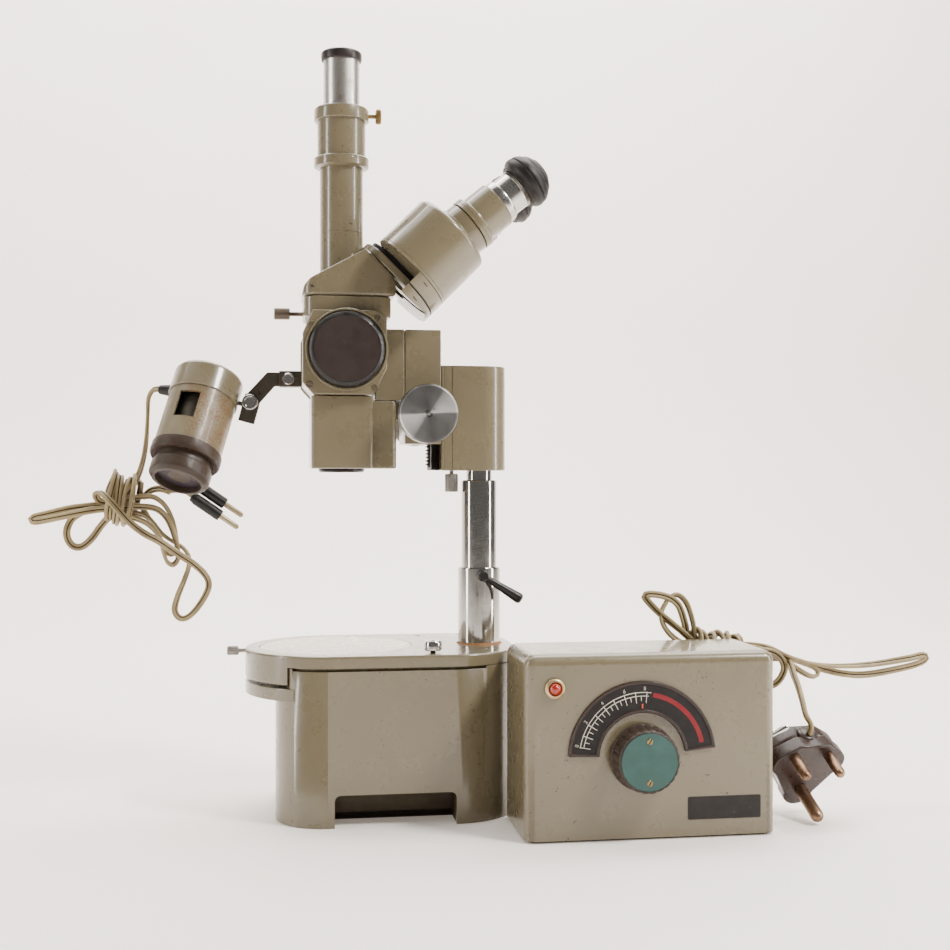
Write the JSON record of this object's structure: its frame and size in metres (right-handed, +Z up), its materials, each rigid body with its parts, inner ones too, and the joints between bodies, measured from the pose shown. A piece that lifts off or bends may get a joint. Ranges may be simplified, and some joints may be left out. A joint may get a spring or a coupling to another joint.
{
  "type": "stereo zoom microscope",
  "caption": "Stereo zoom microscope with inclined eyepieces, upright photo tube, pole stand on a lit base, lamp on a jointed arm and a separate lamp transformer with its flex and plug.",
  "frame": {"origin": "on the bench under the centre of the stage", "axes": "+Z up, +X from the stage towards the pole, -Y the side with the transformer's dial"},
  "size_m": [0.631, 0.2009, 0.5296],
  "materials": {
    "enamel": "semi-gloss khaki-grey stove enamel, lightly worn",
    "chrome": "polished",
    "steel": "turned",
    "brass": "aged",
    "black": "satin black",
    "brown": "satin brown-black",
    "bakelite": "dark brown, worn gloss",
    "rubber": "matt",
    "flex": "beige twin flex",
    "stage_glass": "clear disc with a ground rim",
    "mirror": "silvered glass on a painted wedge"
  },
  "bodies": {
    "base": {"base_housing": "enamel", "base_bottom_plate": "enamel", "base_top_plate": "enamel", "substage_mirror": "mirror", "pole_socket": "chrome", "transformer_case": "enamel", "transformer_chassis": "steel", "dial_scale": "black", "pilot_lamp": "brass", "cord_gland": "rubber", "mains_cord": "flex", "mains_cord_hank": "flex", "mains_plug": "bakelite"},
    "stage": {"stage_plate": "stage_glass"},
    "stage_lock": {"stage_lock_screw": "steel"},
    "stage_clip": {"stage_clip_screw": "chrome"},
    "pole": {"pole": "chrome"},
    "pole_clamp": {"pole_clamp_lever": "black"},
    "arm": {"arm_carrier": "enamel", "focus_rack": "black"},
    "arm_lock": {"arm_lock_screw": "steel"},
    "focus": {"focus_slide": "enamel", "zoom_body": "enamel", "lens_block": "enamel", "objective": "black", "lamp_bracket": "black"},
    "pinion": {"focus_pinion_shaft": "steel", "focus_knob_near": "steel", "focus_knob_far": "steel"},
    "zoom": {"zoom_drum": "black", "zoom_knob_near": "black", "zoom_knob_far": "black"},
    "head_clamp": {"head_clamp_screw": "steel"},
    "head": {"head_housing": "enamel", "photo_tube": "enamel", "binocular_carrier": "enamel"},
    "photo_draw": {"photo_draw_tube": "chrome"},
    "photo_cap": {"photo_cap": "black"},
    "photo_clamp": {"photo_clamp_screw": "brass"},
    "near_eye": {"near_prism_housing": "enamel"},
    "near_dioptre": {"near_dioptre_ring": "enamel"},
    "near_ocular": {"near_eyepiece": "chrome", "near_eyecup": "rubber"},
    "far_eye": {"far_prism_housing": "enamel"},
    "far_dioptre": {"far_dioptre_ring": "enamel"},
    "far_ocular": {"far_eyepiece": "chrome", "far_eyecup": "rubber"},
    "lamp_link": {"lamp_link": "black"},
    "lamp_joint_screw": {"lamp_joint_screw": "chrome"},
    "lamp_plate": {"lamp_plate": "black"},
    "lamp": {"lamp_housing": "enamel", "lamp_cap": "enamel", "lamp_bulb_holder": "steel", "lamp_cord": "flex", "lamp_cord_hank": "flex", "pin_plug_upper": "rubber", "pin_plug_lower": "rubber"},
    "lamp_barrel": {"lamp_focus_barrel": "brown"},
    "dial": {"dial_knob": "bakelite"},
    "switch": {"switch_lever": "chrome"}
  },
  "joints": [
    {"name": "stage_lift", "type": "slide", "parent": "base", "child": "stage", "axis": [0, 0, 1], "range_m": [0, 0.005]},
    {"name": "stage_lock_turn", "type": "hinge", "parent": "base", "child": "stage_lock", "pos_m": [-0.06, 0, 0.1106], "axis": [1, 0, 0], "continuous": true},
    {"name": "stage_clip_turn", "type": "hinge", "parent": "base", "child": "stage_clip", "pos_m": [0.063, -0.049, 0.115], "axis": [0, 0, 1], "continuous": true},
    {"name": "pole_slide", "type": "slide", "parent": "base", "child": "pole", "axis": [0, 0, 1], "range_m": [-0.05, 0.045]},
    {"name": "pole_clamp_turn", "type": "hinge", "parent": "base", "child": "pole_clamp", "pos_m": [0.1018, 0, 0.162], "axis": [0, -1, 0], "range_deg": [0, 90]},
    {"name": "arm_swing", "type": "hinge", "parent": "pole", "child": "arm", "pos_m": [0.1018, 0, 0.24], "axis": [0, 0, 1], "range_deg": [-90, 90]},
    {"name": "arm_lock_turn", "type": "hinge", "parent": "arm", "child": "arm_lock", "pos_m": [0.082, 0, 0.228], "axis": [0, 0, 1], "continuous": true},
    {"name": "focus_travel", "type": "slide", "parent": "arm", "child": "focus", "axis": [0, 0, 1], "range_m": [-0.018, 0.025]},
    {"name": "focus_turn", "type": "hinge", "parent": "focus", "child": "pinion", "pos_m": [0.06, 0, 0.274], "axis": [0, 1, 0], "range_deg": [-262, 362]},
    {"name": "zoom_turn", "type": "hinge", "parent": "focus", "child": "zoom", "pos_m": [0.0057, 0, 0.3175], "axis": [0, 1, 0], "range_deg": [-140, 140]},
    {"name": "head_clamp_turn", "type": "hinge", "parent": "focus", "child": "head_clamp", "pos_m": [-0.03, 0, 0.3452], "axis": [1, 0, 0], "continuous": true},
    {"name": "head_turn", "type": "hinge", "parent": "focus", "child": "head", "pos_m": [0.004, 0, 0.3553], "axis": [0, 0, 1], "continuous": true},
    {"name": "photo_draw_slide", "type": "slide", "parent": "head", "child": "photo_draw", "axis": [0, 0, 1], "range_m": [0, 0.03]},
    {"name": "photo_cap_lift", "type": "slide", "parent": "photo_draw", "child": "photo_cap", "axis": [0, 0, 1], "range_m": [0, 0.01]},
    {"name": "photo_clamp_turn", "type": "hinge", "parent": "head", "child": "photo_clamp", "pos_m": [0.03, 0, 0.4855], "axis": [1, 0, 0], "continuous": true},
    {"name": "near_eye_turn", "type": "hinge", "parent": "head", "child": "near_eye", "pos_m": [0.05, -0.0303, 0.3714], "axis": [0.7071, 0, 0.7071], "range_deg": [-50, 50]},
    {"name": "far_eye_turn", "type": "hinge", "parent": "head", "child": "far_eye", "pos_m": [0.05, 0.0303, 0.3714], "axis": [0.7071, 0, 0.7071], "range_deg": [-50, 50]},
    {"name": "near_dioptre_turn", "type": "hinge", "parent": "near_eye", "child": "near_dioptre", "pos_m": [0.08224, -0.0303, 0.39756], "axis": [0.7749, 0, 0.632], "range_deg": [-150, 150]},
    {"name": "far_dioptre_turn", "type": "hinge", "parent": "far_eye", "child": "far_dioptre", "pos_m": [0.08224, 0.0303, 0.39756], "axis": [0.7749, 0, 0.632], "range_deg": [-150, 150]},
    {"name": "near_ocular_pull", "type": "slide", "parent": "near_dioptre", "child": "near_ocular", "axis": [0.7749, 0, 0.632], "range_m": [0, 0.015]},
    {"name": "far_ocular_pull", "type": "slide", "parent": "far_dioptre", "child": "far_ocular", "axis": [0.7749, 0, 0.632], "range_m": [0, 0.015]},
    {"name": "lamp_link_swing", "type": "hinge", "parent": "focus", "child": "lamp_link", "pos_m": [-0.0332, 0, 0.2988], "axis": [0, 1, 0], "range_deg": [-20, 30]},
    {"name": "lamp_joint_screw_turn", "type": "hinge", "parent": "lamp_link", "child": "lamp_joint_screw", "pos_m": [-0.0594, 0, 0.2829], "axis": [0, -1, 0], "continuous": true},
    {"name": "lamp_tilt", "type": "hinge", "parent": "lamp_link", "child": "lamp_plate", "pos_m": [-0.0594, 0, 0.2829], "axis": [0, 1, 0], "range_deg": [-15, 30]},
    {"name": "lamp_swivel", "type": "hinge", "parent": "lamp_plate", "child": "lamp", "pos_m": [-0.09028, -0.00009, 0.28883], "axis": [0.9655, 0, -0.2605], "range_deg": [-20, 60]},
    {"name": "lamp_focus", "type": "slide", "parent": "lamp", "child": "lamp_barrel", "axis": [-0.2345, -0.4352, -0.8692], "range_m": [-0.004, 0.008]},
    {"name": "dial_turn", "type": "hinge", "parent": "base", "child": "dial", "pos_m": [0.1887, -0.12, 0.0533], "axis": [0, -1, 0], "range_deg": [-140, 140]},
    {"name": "switch_throw", "type": "hinge", "parent": "base", "child": "switch", "pos_m": [0.279, -0.097, 0.0577], "axis": [0, 1, 0], "range_deg": [0, 36]}
  ],
  "couplings": [
    {"joint": "focus_turn", "follows": "focus_travel", "rad_per_m": 250},
    {"joint": "far_eye_turn", "follows": "near_eye_turn", "ratio": -1}
  ]
}
